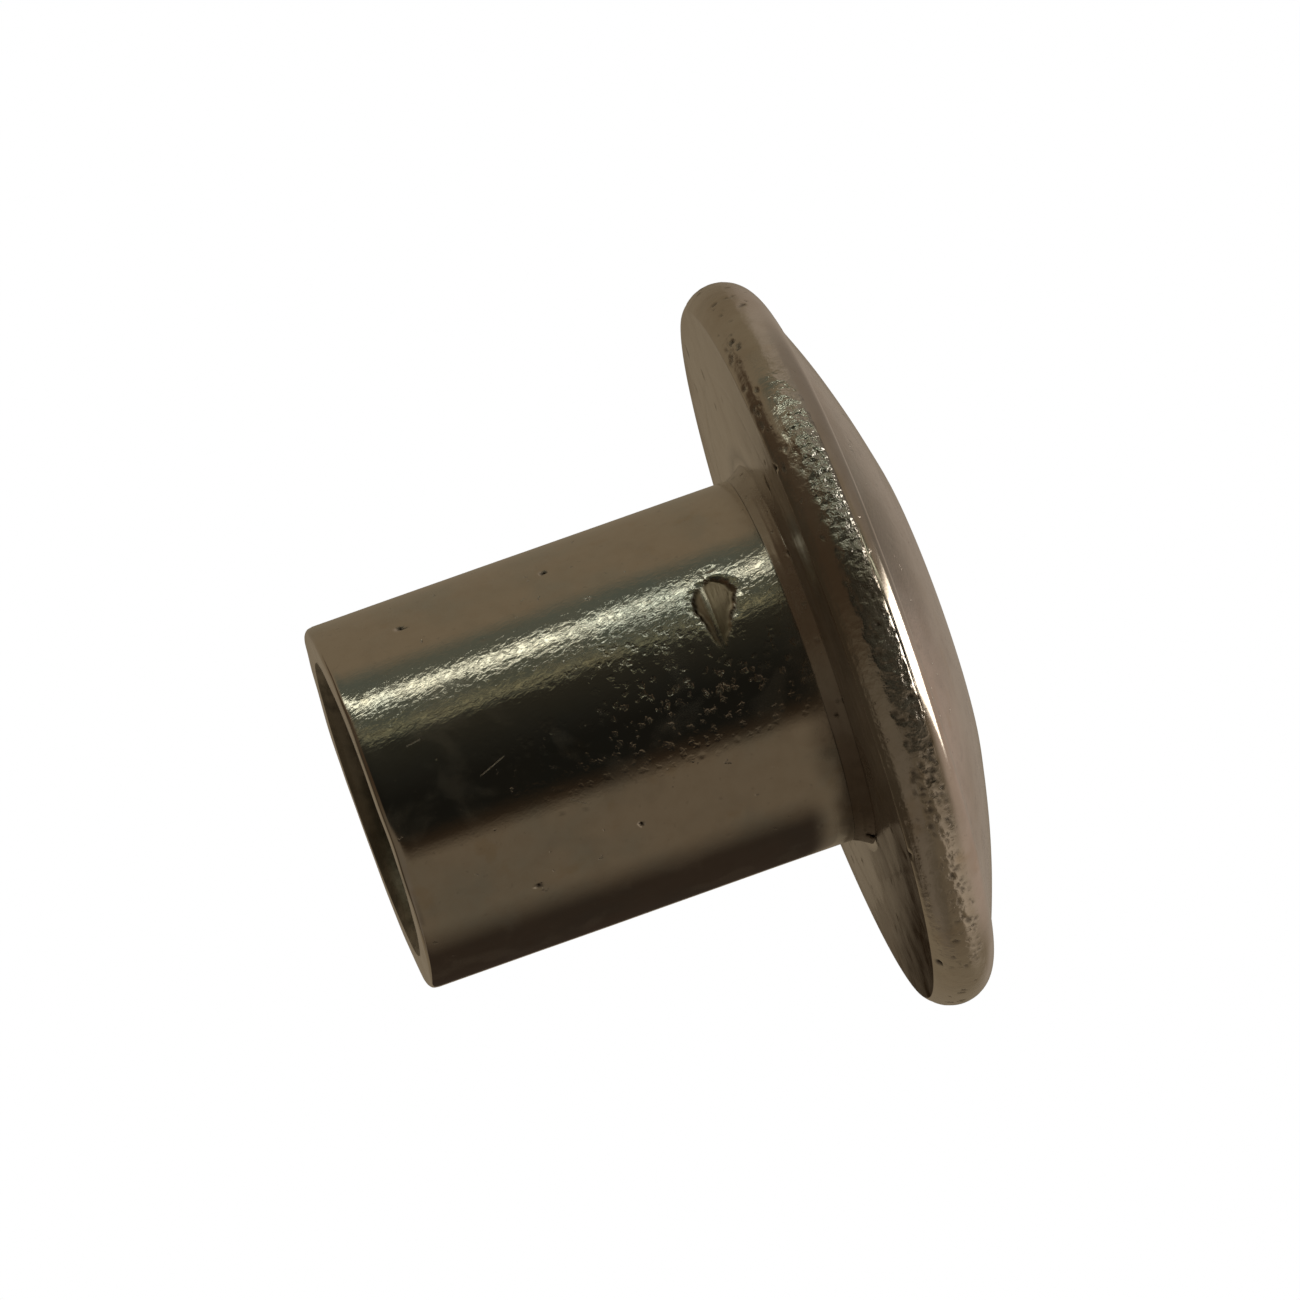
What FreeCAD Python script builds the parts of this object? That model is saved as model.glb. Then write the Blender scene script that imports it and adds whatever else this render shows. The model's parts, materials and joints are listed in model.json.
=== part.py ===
"""Plain-barrel thru-hull fitting for a 19 mm (3/4 in) hole in a boat's hull side.

A drawn barrel has a spigot turned on its outboard end, which stands in a socket in the back
of a domed, bored flange. A ring of braze metal fills the groove between the barrel's shoulder
and the socket's countersunk mouth, and joins the two. The barrel goes through the hull from
outside, the flange seats on the outer skin, and the waterway runs straight through both.
Nothing on it is threaded and nothing moves.

Frame, in millimetres: +X points outboard along the waterway, +Z up. The origin is on the
waterway's axis, in the plane of the flange's seat, so the barrel lies at negative X.
"""

import FreeCAD
import Part
import math
import os
from FreeCAD import Vector

# Driving dimensions
barrel_diameter = 19.05
flange_diameter = 38.1
barrel_length = 23.3  # from the flange's seat to the free end
wall = 2.15
rim_height = 2.72  # from the seat to the circle where the rounded rim meets the dome
dome_height = 4.4  # the dome's crown above that circle, as if it were not bored

# Edges
barrel_end_radius = 0.25
bore_chamfer = 0.35
rim_round_radius = 1.9  # section of the bulging rim
rim_widest_x = 1.6  # where along the axis the rim is widest
seat_edge_radius = 0.2
dome_edge_radius = 0.45
lip_radius = 0.7

# Brazed joint
spigot_diameter = 18.0
socket_depth = 2.2
braze_along = 0.9  # how far the braze metal shows along the barrel
braze_out = 0.5  # how far it shows across the flange's seat
braze_hollow = 0.06  # how far its face is drawn in below a straight line

# Worked out
barrel_r = barrel_diameter / 2
bore_r = barrel_r - wall
spigot_r = spigot_diameter / 2
flange_r = flange_diameter / 2
braze_r = barrel_r + braze_out
countersink_depth = braze_r - spigot_r  # a 45 degree countersink
rim_centre_r = flange_r - rim_round_radius
seat_edge_r = rim_centre_r + math.sqrt(rim_round_radius**2 - rim_widest_x**2)
dome_base_r = rim_centre_r + math.sqrt(rim_round_radius**2 - (rim_height - rim_widest_x) ** 2)
dome_r = (dome_base_r**2 + dome_height**2) / (2 * dome_height)
crown_x = rim_height + dome_height

AXIS = Vector(1, 0, 0)
ORIGIN = Vector(0, 0, 0)
FULL_TURN = 360
OVERSHOOT = 1.0  # how far a cutting tool runs past the face that it opens
TOLERANCE = 1e-4


def rod(radius, start_x, end_x):
    """A cylinder on the waterway's axis."""
    return Part.makeCylinder(radius, end_x - start_x, Vector(start_x, 0, 0), AXIS)


def circle_edges(shape, radius, min_x, max_x):
    """The full circles about the axis with that radius, between two places along it."""
    found = []
    for edge in shape.Edges:
        if not isinstance(edge.Curve, Part.Circle):
            continue
        right_size = abs(edge.Curve.Radius - radius) < TOLERANCE
        in_reach = min_x - TOLERANCE < edge.Curve.Center.x < max_x + TOLERANCE
        if right_size and in_reach:
            found.append(edge)
    return found


def barrel():
    """The drawn tube, with a rounded free end and a spigot turned on its outboard end."""
    end_x = -barrel_length
    tube = rod(barrel_r, end_x, -braze_along)
    tube = tube.fuse(rod(spigot_r, -braze_along, socket_depth))
    tube = tube.cut(rod(bore_r, end_x - OVERSHOOT, socket_depth + OVERSHOOT))
    tube = tube.makeFillet(barrel_end_radius, circle_edges(tube, barrel_r, end_x, end_x))
    tube = tube.makeChamfer(bore_chamfer, circle_edges(tube, bore_r, end_x, end_x))
    return tube.Solids[0]


def dome_point(reach):
    """The point of the dome's section at that distance from the axis."""
    return Vector(crown_x - dome_r + math.sqrt(dome_r**2 - reach**2), reach, 0)


def bored_blank():
    """The flange before its socket is cut: a flat seat, a bulging rim, a dome, and the bore."""
    seat_inner = Vector(0, bore_r, 0)
    seat_outer = Vector(0, seat_edge_r, 0)
    rim_widest = Vector(rim_widest_x, flange_r, 0)
    dome_base = dome_point(dome_base_r)
    mouth = dome_point(bore_r)
    outline = [
        Part.makeLine(seat_inner, seat_outer),
        Part.Arc(seat_outer, rim_widest, dome_base).toShape(),
        Part.Arc(dome_base, dome_point((dome_base_r + bore_r) / 2), mouth).toShape(),
        Part.makeLine(mouth, seat_inner),
    ]
    section = Part.Face(Part.Wire(outline))
    return section.revolve(ORIGIN, AXIS, FULL_TURN)


def domed_flange():
    """The round flange, with the barrel's socket and its countersink in the back."""
    head = bored_blank()
    head = head.makeFillet(seat_edge_radius, circle_edges(head, seat_edge_r, 0, 0))
    head = head.makeFillet(dome_edge_radius, circle_edges(head, dome_base_r, rim_height, rim_height))
    head = head.makeFillet(lip_radius, circle_edges(head, bore_r, rim_height, crown_x))
    head = head.cut(rod(spigot_r, -OVERSHOOT, socket_depth))
    head = head.cut(Part.makeCone(braze_r, spigot_r, countersink_depth, ORIGIN, AXIS))
    return head.Solids[0]


def braze_ring():
    """The braze metal that fills the groove round the spigot, with a slightly hollow face."""
    shoulder_inner = Vector(-braze_along, spigot_r, 0)
    shoulder_outer = Vector(-braze_along, barrel_r, 0)
    seat_edge = Vector(0, braze_r, 0)
    countersink_bottom = Vector(countersink_depth, spigot_r, 0)
    face_line = seat_edge - shoulder_outer
    inward = Vector(face_line.y, -face_line.x, 0).normalize()
    face_middle = (shoulder_outer + seat_edge) * 0.5 + inward * braze_hollow
    outline = [
        Part.makeLine(shoulder_inner, shoulder_outer),
        Part.Arc(shoulder_outer, face_middle, seat_edge).toShape(),
        Part.makeLine(seat_edge, countersink_bottom),
        Part.makeLine(countersink_bottom, shoulder_inner),
    ]
    section = Part.Face(Part.Wire(outline))
    return section.revolve(ORIGIN, AXIS, FULL_TURN)


PIECES = {
    "barrel": barrel,
    "domed_flange": domed_flange,
    "braze_ring": braze_ring,
}


def main():
    os.makedirs("parts", exist_ok=True)
    for node, make in PIECES.items():
        solid = make()
        box = solid.optimalBoundingBox()
        print(
            f"{node}: {solid.ShapeType}, valid {solid.isValid()}, {solid.Volume:.1f} mm3, "
            f"x {box.XMin:.2f} to {box.XMax:.2f}, radius {box.YMax:.2f}"
        )
        solid.exportStep(f"parts/{node}.step")


main()
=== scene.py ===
"""Looks for the plain-barrel thru-hull fitting: worn nickel plate on three turned pieces.

Each CAD node is replaced by a finely divided mesh of revolution with the same outline, cut by
the marks a used fitting has: pits, pinholes, a ploughed gouge, a crinkled rim and voids in the
braze. Every mark is cut into the metal, so the pieces stay inside their CAD nodes. The plate's
colour also holds painted shade, low on the seat, the braze ring and the barrel's root, and
painted highlights on the crumpled rim and the gouge's ridge.

Lengths are worked in millimetres and turned into metres when a mesh is made. A place on a
piece is given by x along the waterway and by an angle round it, in degrees, which is 0 on the
side that faces the camera (-Y) and 90 at the top (+Z).
"""

import json
import math

import bpy
import numpy as np
from mathutils import Matrix, Vector


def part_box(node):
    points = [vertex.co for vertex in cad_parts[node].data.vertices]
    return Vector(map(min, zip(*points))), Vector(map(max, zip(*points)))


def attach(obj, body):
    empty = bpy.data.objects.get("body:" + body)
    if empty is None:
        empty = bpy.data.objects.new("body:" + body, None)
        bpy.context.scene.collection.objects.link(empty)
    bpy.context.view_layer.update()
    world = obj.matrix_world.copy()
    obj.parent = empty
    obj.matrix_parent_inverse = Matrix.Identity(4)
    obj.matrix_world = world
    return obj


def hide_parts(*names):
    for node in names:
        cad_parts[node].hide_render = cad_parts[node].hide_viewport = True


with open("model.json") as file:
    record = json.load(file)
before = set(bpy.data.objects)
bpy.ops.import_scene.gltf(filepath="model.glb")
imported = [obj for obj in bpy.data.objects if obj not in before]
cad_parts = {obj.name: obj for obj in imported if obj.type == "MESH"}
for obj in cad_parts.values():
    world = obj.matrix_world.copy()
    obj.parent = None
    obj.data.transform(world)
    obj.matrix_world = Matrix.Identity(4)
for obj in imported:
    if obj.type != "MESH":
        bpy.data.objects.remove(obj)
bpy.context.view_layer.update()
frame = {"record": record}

MM = 0.001

# ---------------------------------------------------------------- sizes, in mm, from the frame

barrel_low, barrel_high = (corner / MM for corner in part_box("barrel"))
flange_low, flange_high = (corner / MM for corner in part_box("domed_flange"))
ring_low, ring_high = (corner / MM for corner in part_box("braze_ring"))
round_mounts = {m["name"]: m["dims"] for m in frame["record"]["mounts"] if m["dims"]}

barrel_r = round_mounts["hull_sleeve"]["r_mm"]
bore_r = round_mounts["waterway_bore"]["r_mm"]
flange_r = flange_high.z
free_end_x = barrel_low.x
socket_x = barrel_high.x
shoulder_x = ring_low.x
ring_r = ring_high.z
countersink_x = ring_high.x
spigot_r = ring_r - countersink_x

# The edges and the dome, which the boxes don't give
barrel_end_radius = 0.25
bore_chamfer = 0.35
rim_height = 2.72
dome_height = 4.4
rim_round_radius = 1.9
rim_widest_x = 1.6
seat_edge_radius = 0.2
dome_edge_radius = 0.45
lip_radius = 0.7
braze_hollow = 0.06

rim_centre_r = flange_r - rim_round_radius
dome_base_r = rim_centre_r + math.sqrt(rim_round_radius**2 - (rim_height - rim_widest_x) ** 2)
dome_r = (dome_base_r**2 + dome_height**2) / (2 * dome_height)
dome_centre_x = rim_height + dome_height - dome_r

# Steps between points, and points round a ring
CRISP = 0.02
CLOSE = 0.1
FINE = 0.115
MEDIUM = 0.24
WIDE = 0.35
COARSE = 0.7
BARREL_ROUND = 560
FLANGE_ROUND = 744
RING_ROUND = 640
ROUGHER = 4  # how many times fewer points a plain ring has

PLATE, BORE = 0, 1  # material places on a piece


# ---------------------------------------------------------------- outlines and meshes


def run(start, end, step):
    """Points (x, r) on a straight line from start, up to but not including end."""
    start = np.array(start, float)
    way = np.array(end, float) - start
    count = max(1, math.ceil(np.linalg.norm(way) / step))
    return start + way * (np.arange(count) / count)[:, None]


def arc(centre, radius, first, last, step):
    """Points on an arc, from one direction of its normal up to but not including another.

    A direction is in degrees: 0 points away from the axis, 90 along +x and -90 along -x.
    """
    count = max(3, math.ceil(radius * math.radians(abs(last - first)) / step))
    angles = np.radians(first + (last - first) * np.arange(count) / count)
    return np.array(centre) + radius * np.stack([np.sin(angles), np.cos(angles)], axis=1)


def outline_normals(outline):
    """Unit normals (x, r) that point out of the metal, for an outline that keeps it on its left."""
    along = np.roll(outline, -1, axis=0) - np.roll(outline, 1, axis=0)
    normals = np.stack([along[:, 1], -along[:, 0]], axis=1)
    return normals / np.linalg.norm(normals, axis=1, keepdims=True)


def band_faces(start, count, next_start, next_count):
    """Faces between two rings of points, where one may have a few times as many as the other."""
    coarse = np.arange(min(count, next_count))
    beside = (coarse + 1) % len(coarse)
    share = max(count, next_count) // len(coarse)
    if share == 1:
        return np.stack([start + coarse, start + beside, next_start + beside, next_start + coarse], axis=1)
    steps = np.arange(share + 1)
    many = (coarse[:, None] * share + steps) % (share * len(coarse))
    if count > next_count:
        return np.concatenate([start + many, next_start + np.stack([beside, coarse], axis=1)], axis=1)
    return np.concatenate([start + np.stack([coarse, beside], axis=1), next_start + many[:, ::-1]], axis=1)


def surface(stretches):
    """The outline (x, r) of a piece, with each point's count round and its material place."""
    outline = np.concatenate([points for points, _, _ in stretches])
    counts = np.concatenate([np.full(len(points), count) for points, count, _ in stretches])
    slots = np.concatenate([np.full(len(points), slot) for points, _, slot in stretches])
    return outline, counts, slots


def worn_points(outline, counts, wear):
    """Every point of a piece, in metres and with its wear cut in, and the layers of the wear."""
    x = np.repeat(outline[:, 0], counts)
    r = np.repeat(outline[:, 1], counts)
    normals = np.repeat(outline_normals(outline), counts, axis=0)
    angle = np.concatenate([np.arange(count) * 2 * math.pi / count for count in counts])
    round_about = np.stack([-np.cos(angle), np.sin(angle)], axis=1)

    place = {"x": x, "r": r, "angle": (np.degrees(angle) + 180) % 360 - 180}
    place["point"] = np.column_stack([x, r[:, None] * round_about])
    depth, layers = wear(place)
    worn = np.stack([x, r], axis=1) - normals * depth[:, None]
    return np.column_stack([worn[:, 0], worn[:, 1:] * round_about]) * MM, layers


def all_faces(counts, slots):
    """The faces between a piece's rings of points, and the material place of each face."""
    starts = np.concatenate([[0], np.cumsum(counts)[:-1]])
    faces = []
    face_slots = []
    for i in range(len(counts)):
        j = (i + 1) % len(counts)
        band = band_faces(starts[i], counts[i], starts[j], counts[j])
        faces.extend(band.tolist())
        face_slots.extend([slots[i]] * len(band))
    return faces, face_slots


def turned_piece(name, stretches, wear, materials):
    """A closed mesh of revolution from stretches (points, how many round, material place).

    wear(place) gives the depth cut into the metal and the layers that the materials read.
    place holds, for every point: x, r, the angle in degrees, and the point itself.
    """
    outline, counts, slots = surface(stretches)
    points, layers = worn_points(outline, counts, wear)
    faces, face_slots = all_faces(counts, slots)

    mesh = bpy.data.meshes.new(name)
    mesh.from_pydata(points.tolist(), [], faces)
    for material in materials:
        mesh.materials.append(material)
    mesh.polygons.foreach_set("material_index", face_slots)
    mesh.shade_smooth()
    for layer, values in layers.items():
        attribute = mesh.attributes.new(layer, "FLOAT", "POINT")
        attribute.data.foreach_set("value", np.clip(values, 0, 1).astype(np.float32))
    mesh.update()
    piece = bpy.data.objects.new(name, mesh)
    bpy.context.scene.collection.objects.link(piece)
    return piece


# ---------------------------------------------------------------- wear

ALL_ROUND = (-180, 180)

# Large odd numbers that stir a cell's numbers into a random one
CELL_STIR = np.array([374761393, 668265263, 1442695041])
SEED_STIR = 974711
LAST_STIR = 1274126177
LOW_BITS = 0xFFFFFFFF


def random_at(cells, seed):
    """A random value from -1 to 1 for each whole-numbered cell."""
    mixed = (cells * CELL_STIR).sum(axis=1) + seed * SEED_STIR
    mixed = mixed & LOW_BITS
    mixed = ((mixed ^ (mixed >> 13)) * LAST_STIR) & LOW_BITS
    return (mixed ^ (mixed >> 16)) / 2**31 - 1


def noise(points, size, seed):
    """Smooth random values from -1 to 1 with features of about that size."""
    scaled = points / size + 1000
    cells = np.floor(scaled).astype(np.int64)
    part = scaled - cells
    ease = part * part * (3 - 2 * part)
    total = np.zeros(len(points))
    for corner in np.ndindex(2, 2, 2):
        weights = np.where(np.array(corner) == 1, ease, 1 - ease).prod(axis=1)
        total += weights * random_at(cells + np.array(corner), seed)
    return total


def ease_between(value, start, end):
    """0 before start and 1 after end, with a smooth change between them."""
    t = np.clip((value - start) / (end - start), 0, 1)
    return t * t * (3 - 2 * t)


def hump(value, middle, spread):
    """1 at the middle, falling away smoothly on both sides."""
    return np.exp(-(((value - middle) / spread) ** 2))


def turned_from(place, degrees):
    """How far each point is round from that angle, from -180 to 180."""
    return (place["angle"] - degrees + 180) % 360 - 180


def on_surface(x, r, degrees):
    """The point at radius r and that angle round the waterway."""
    angle = math.radians(degrees)
    return np.array([x, -r * math.cos(angle), r * math.sin(angle)])


def pits(place, marks):
    """Depth of hollows with ragged edges. marks are (point, radius, depth)."""
    points = place["point"]
    ragged = 1 + 0.6 * noise(points, 0.17, seed=5)
    depth = np.zeros(len(points))
    for centre, radius, deepest in marks:
        near = np.flatnonzero(np.abs(points[:, 0] - centre[0]) < radius * 2.5)
        away = np.linalg.norm(points[near] - centre, axis=1) / radius * ragged[near]
        depth[near] = np.maximum(depth[near], deepest * (1 - ease_between(away, 0.35, 1.0)))
    return depth


def placed(marks):
    """Marks given by (x, r, degrees), as marks given by their point."""
    return [(on_surface(*spot), radius, depth) for spot, radius, depth in marks]


def random_size(rng, sizes):
    """A size between the two, small ones being more common."""
    return sizes[0] * (sizes[1] / sizes[0]) ** rng.random()


def scattered(rng, count, reach_range, angle_range, spot, sizes, depth_share):
    """Random pits between two angles, where spot(reach) gives their (x, r)."""
    marks = []
    for _ in range(count):
        x, r = spot(rng.uniform(*reach_range))
        radius = random_size(rng, sizes)
        marks.append((on_surface(x, r, rng.uniform(*angle_range)), radius, radius * depth_share))
    return marks


def clustered(rng, count, centre, spread, sizes, depth_share):
    """Random pits in the barrel round a place (x, degrees), thinning out over (mm, degrees)."""
    marks = []
    for _ in range(count):
        x = min(rng.normal(centre[0], spread[0]), shoulder_x - 0.3)
        degrees = rng.normal(centre[1], spread[1])
        radius = random_size(rng, sizes)
        marks.append((on_surface(x, barrel_r, degrees), radius, radius * depth_share))
    return marks


def folds(points, size, seed):
    """Sharp-crested folds from 0 to 1, like crumpled foil."""
    bent = points + 0.35 * size * noise(points, size, seed + 1)[:, None]
    coarse = 1 - np.abs(noise(bent, size, seed))
    fine = 1 - np.abs(noise(bent, size * 0.45, seed + 2))
    return (0.65 * coarse + 0.35 * fine) ** 2


GOUGE_TOP = 32.5  # degrees
GOUGE_LENGTH = 24.5
GOUGE_TOP_X = -4.05
GOUGE_FOOT_X = -4.62
GOUGE_HALF_WIDTH = 1.5
GOUGE_RIDGE_X = -4.62
LEFT_FACET_SLOPE = 0.24
RIGHT_FACET_SLOPE = 0.13


def gouge(place):
    """A shield-shaped gouge with two flat facets that fall away from a ridge down its middle.

    Gives the depth, and how far each point is on its rough lip, its scraped floor and the dark line along
    its edge.
    """
    down = (GOUGE_TOP - place["angle"]) / GOUGE_LENGTH
    inside = np.clip(down, 0, 1)
    middle_x = GOUGE_TOP_X + (GOUGE_FOOT_X - GOUGE_TOP_X) * inside
    half_width = GOUGE_HALF_WIDTH * np.sqrt(ease_between(down, -0.02, 0.3)) * (1 - inside) ** 0.8
    points = place["point"]
    ragged = 0.1 * noise(points, 0.34, seed=33) + 0.04 * noise(points, 0.15, seed=35)
    edge = half_width - np.abs(place["x"] - middle_x) + ragged
    off_ridge = place["x"] - GOUGE_RIDGE_X
    facets = np.where(off_ridge < 0, -LEFT_FACET_SLOPE, RIGHT_FACET_SLOPE) * off_ridge
    floor = 0.03 + 0.05 * (1 - inside) + facets * (1 - 0.3 * inside)
    crest = 0.03 * hump(off_ridge, 0, 0.1)
    depth = (floor - crest) * ease_between(edge, 0, np.where(off_ridge < 0, 0.12, 0.24))
    cut = np.where((down > 0) & (down < 1), depth, 0)
    lip = hump(edge, -0.08, 0.22) * (down > -0.15) * (down < 0.6)
    crumbs = ease_between(noise(points, 0.3, seed=34), -0.25, 0.2)
    # A dark line along the gouge's edge, whole on its left side and broken on its right.
    dark_edge_line = hump(edge, 0.06, 0.1) * np.where(off_ridge < 0, 1, crumbs) * hump(down, 0.4, 0.3)
    # The scraped share dips along the ridge, so the ridge keeps the paler plate colour: a painted highlight.
    return cut, lip, (cut > 0.01) * (1 - 0.8 * hump(off_ridge, 0, 0.09)), dark_edge_line


# Typical depths in mm: the barrel's slow and quick swells, its dents, the folds at the gouge's
# lip, and the waver of its free end
SWELL = 0.008
QUICK_SWELL = 0.0015
DENT = 0.0022
RUFFLE = 0.09
END_WAVER = 0.05

# Pinholes in the barrel: where (x, r, degrees), radius, depth
PINHOLES = [
    ((-19.0, barrel_r, 56), 0.17, 0.13),
    ((-16.9, barrel_r, -42), 0.16, 0.13),
    ((-11.2, barrel_r, -33), 0.15, 0.12),
    ((-11.4, barrel_r, 59), 0.2, 0.1),
    ((-14.0, barrel_r, 118), 0.17, 0.13),
    ((-7.5, barrel_r, -140), 0.18, 0.13),
]


def barrel_spot(reach):
    """The (x, r) of the barrel's surface at that place along it."""
    return reach, barrel_r


def barrel_pits(place):
    """The depths of the barrel's small pits and of its pinholes."""
    rng = np.random.default_rng(seed=11)
    marks = clustered(rng, 90, centre=(-13, 170), spread=(4.5, 26), sizes=(0.1, 0.2), depth_share=0.25)
    whole_length = (free_end_x + 1, shoulder_x - 0.4)
    marks += scattered(rng, 60, whole_length, ALL_ROUND, barrel_spot, (0.07, 0.12), 0.2)
    return pits(place, marks), pits(place, placed(PINHOLES))


def hammered_share(place):
    """Where the plate is flaky and slightly dented: three stretches along the barrel."""
    hammered = np.maximum(hump(place["angle"], 27, 13), 0.8 * hump(turned_from(place, -150), 0, 22))
    return np.maximum(hammered, 0.6 * hump(place["angle"], 112, 16))


def pitted_share(place):
    """Where the plate is finely pitted: the dark front near the root, and a patch behind."""
    x, angle = place["x"], place["angle"]
    pitted = hump(x, -7.2, 7) * hump(angle, 0, 12)
    pitted = np.maximum(pitted, 0.8 * hump(x, -9, 3.5) * hump(angle, 17, 6))
    pitted = np.maximum(pitted, hump(x, -13, 5) * hump(turned_from(place, 172), 0, 26))
    return pitted * ease_between(noise(place["point"], 1.5, seed=23), -0.9, -0.3)


def barrel_wear(place):
    """Dents, pits, pinholes and the gouge, on the barrel's outside only."""
    x, angle, points = place["x"], place["angle"], place["point"]
    outer = ease_between(place["r"], barrel_r - 0.35, barrel_r - 0.1)
    hammered = hammered_share(place)
    shallow, deep = barrel_pits(place)
    cut, lip, scraped, dark_edge_line = gouge(place)

    long_dents = points * np.array([0.4, 1, 1])
    swell = SWELL * (1 + noise(points, 4.5, seed=21)) + QUICK_SWELL * (1 + noise(points, 1.6, seed=22))
    dents = DENT * (1 + noise(long_dents, 0.55, seed=24)) * hammered
    ruffle = RUFFLE * lip * folds(points, 0.34, seed=31)
    at_end = 1 - ease_between(x, free_end_x + 0.05, free_end_x + 0.5)
    end_waver = END_WAVER * (1 + noise(points, 2.2, seed=26)) * at_end
    depth = (swell + dents + np.maximum(np.maximum(shallow, deep), cut) + ruffle) * outer + end_waver

    rougher = 1 + 0.7 * hump(x, -5.5, 5)
    root = ease_between(x + 0.4 * noise(points, 1.1, seed=27), shoulder_x - 1.5, shoulder_x - 0.1)
    layers = {
        "grime": (shallow * 8 + deep * 14 + dark_edge_line) * outer,
        "grain": 0.6 * np.maximum(0.15 + 0.85 * hammered * rougher, 1.5 * lip) * (1 - 0.85 * scraped),
        "pitted": pitted_share(place) * outer * (1 - scraped),
        # Stain with painted shade: the plate darkens next to the root, most of all low at the front where
        # the root sits in shade.
        "stain": root * (0.1 + 0.5 * hump(angle, -62, 42)),
        "scraped": scraped * outer,
    }
    return depth, layers


def dome_spot(reach):
    """The (x, r) of the dome's surface at that distance from the axis."""
    return dome_centre_x + math.sqrt(dome_r**2 - reach**2), reach


def rim_spot(degrees):
    """The (x, r) of the rim's surface where its normal leans that far towards +x."""
    lean = math.radians(degrees)
    return rim_widest_x + rim_round_radius * math.sin(lean), rim_centre_r + rim_round_radius * math.cos(lean)


def seat_spot(reach):
    """The (x, r) of the seat at that distance from the axis."""
    return 0, reach


# Pits in the rim: how many, by how far the surface leans, round which angles, radii, depth share
RIM_PITS = [
    (150, (-30, 26), ALL_ROUND, (0.08, 0.2), 0.35),
    (110, (-12, 28), (-32, 6), (0.09, 0.22), 0.35),
    (60, (2, 28), (-64, -25), (0.08, 0.15), 0.35),
    (24, (-50, -24), (28, 62), (0.1, 0.22), 0.4),
    (80, (-50, 20), (110, 280), (0.1, 0.26), 0.35),
]

# Larger nicks in the seat and its edge: where (x, r, degrees), radius, depth
NICKS = [
    ((0, 13.3, 40.5), 0.2, 0.25),
    ((0, 13.2, 38.8), 0.2, 0.25),
    ((0, 13.1, 37.4), 0.17, 0.2),
    ((0.02, 18.1, 29.5), 0.26, 0.14),
    ((0.1, 18.2, -37), 0.22, 0.12),
    ((0.3, 18.5, -63), 0.2, 0.1),
    ((0.0, ring_r + 0.1, -76), 0.28, 0.25),
]

SCORED_R = 14.6  # a turned line in the seat, which is slightly relieved outside it

# Typical depths in mm: that line and relief, the line at the seat's edge, the rim's folds where
# it is least crumpled and what full crumpling adds, and the dome's slow and quick swells
SCORE = 0.03
SEAT_RELIEF = 0.04
EDGE_LINE = 0.014
LEAST_FOLD = 0.01
CRUMPLED_FOLD = 0.085
DOME_SWELL = 0.014
QUICK_DOME_SWELL = 0.004


def crumpled_share(place, front_half):
    """How crumpled the rim is: most at the upper front, and again behind."""
    crumpled = hump(place["angle"], 25, 15) * (0.08 + 0.92 * front_half)
    crumpled = np.maximum(crumpled, 0.35 * hump(place["angle"], -5, 14) * (0.3 + 0.7 * front_half))
    crumpled = np.maximum(crumpled, 0.9 * hump(turned_from(place, -158), 0, 30))
    return np.maximum(crumpled, 0.06 + 0.06 * noise(place["point"], 4.0, seed=41))


def flange_pits(place, on_rim, on_dome, on_seat):
    """The depths of the rim's pits, the dome's pits and the seat's pits."""
    rng = np.random.default_rng(seed=12)
    rim_pits = []
    for count, leans, angles, sizes, depth_share in RIM_PITS:
        rim_pits += scattered(rng, count, leans, angles, rim_spot, sizes, depth_share)
    whole_dome = (bore_r + 1.2, dome_base_r - 0.3)
    low_dome = (16.5, dome_base_r - 0.2)
    dome_pits = scattered(rng, 260, whole_dome, ALL_ROUND, dome_spot, (0.08, 0.18), 0.12)
    dome_pits += scattered(rng, 60, low_dome, (-55, 0), dome_spot, (0.08, 0.17), 0.2)
    seat_pits = scattered(rng, 60, (ring_r + 0.5, 17.5), ALL_ROUND, seat_spot, (0.1, 0.2), 0.3)
    return pits(place, rim_pits) * on_rim, pits(place, dome_pits) * on_dome, pits(place, seat_pits) * on_seat


def flange_stain_and_shade(place, on_rim, on_seat, front_half):
    """How stained and shaded the flange is: painted shade on the seat, low down and across its front, stain
    with painted shade next to the ring, and stain in places on the rim.
    """
    r, angle = place["r"], place["angle"]
    # Painted shade on the seat: darker towards the bottom and outwards, and across its front.
    below = hump(turned_from(place, -68), 0, 62) * (0.58 + 0.5 * ease_between(r, 12, 17))
    uneven = 0.92 + 0.08 * noise(place["point"], 1.6, seed=55)
    painted_seat_shade = on_seat * np.maximum(below, 0.8 * hump(angle, 5, 42)) * uneven
    # Next to the ring, stain with painted shade where the seat meets the ring.
    root_stain_and_shade = on_seat * (1 - ease_between(r, ring_r + 0.3, ring_r + 1.6))
    rim_stain = on_rim * (1 - front_half) * hump(angle, 14, 28)
    rusty = on_rim * front_half * hump(angle, -2, 22)
    return np.maximum(painted_seat_shade, 0.4 * root_stain_and_shade) + 0.2 * rim_stain + 0.5 * rusty


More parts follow.
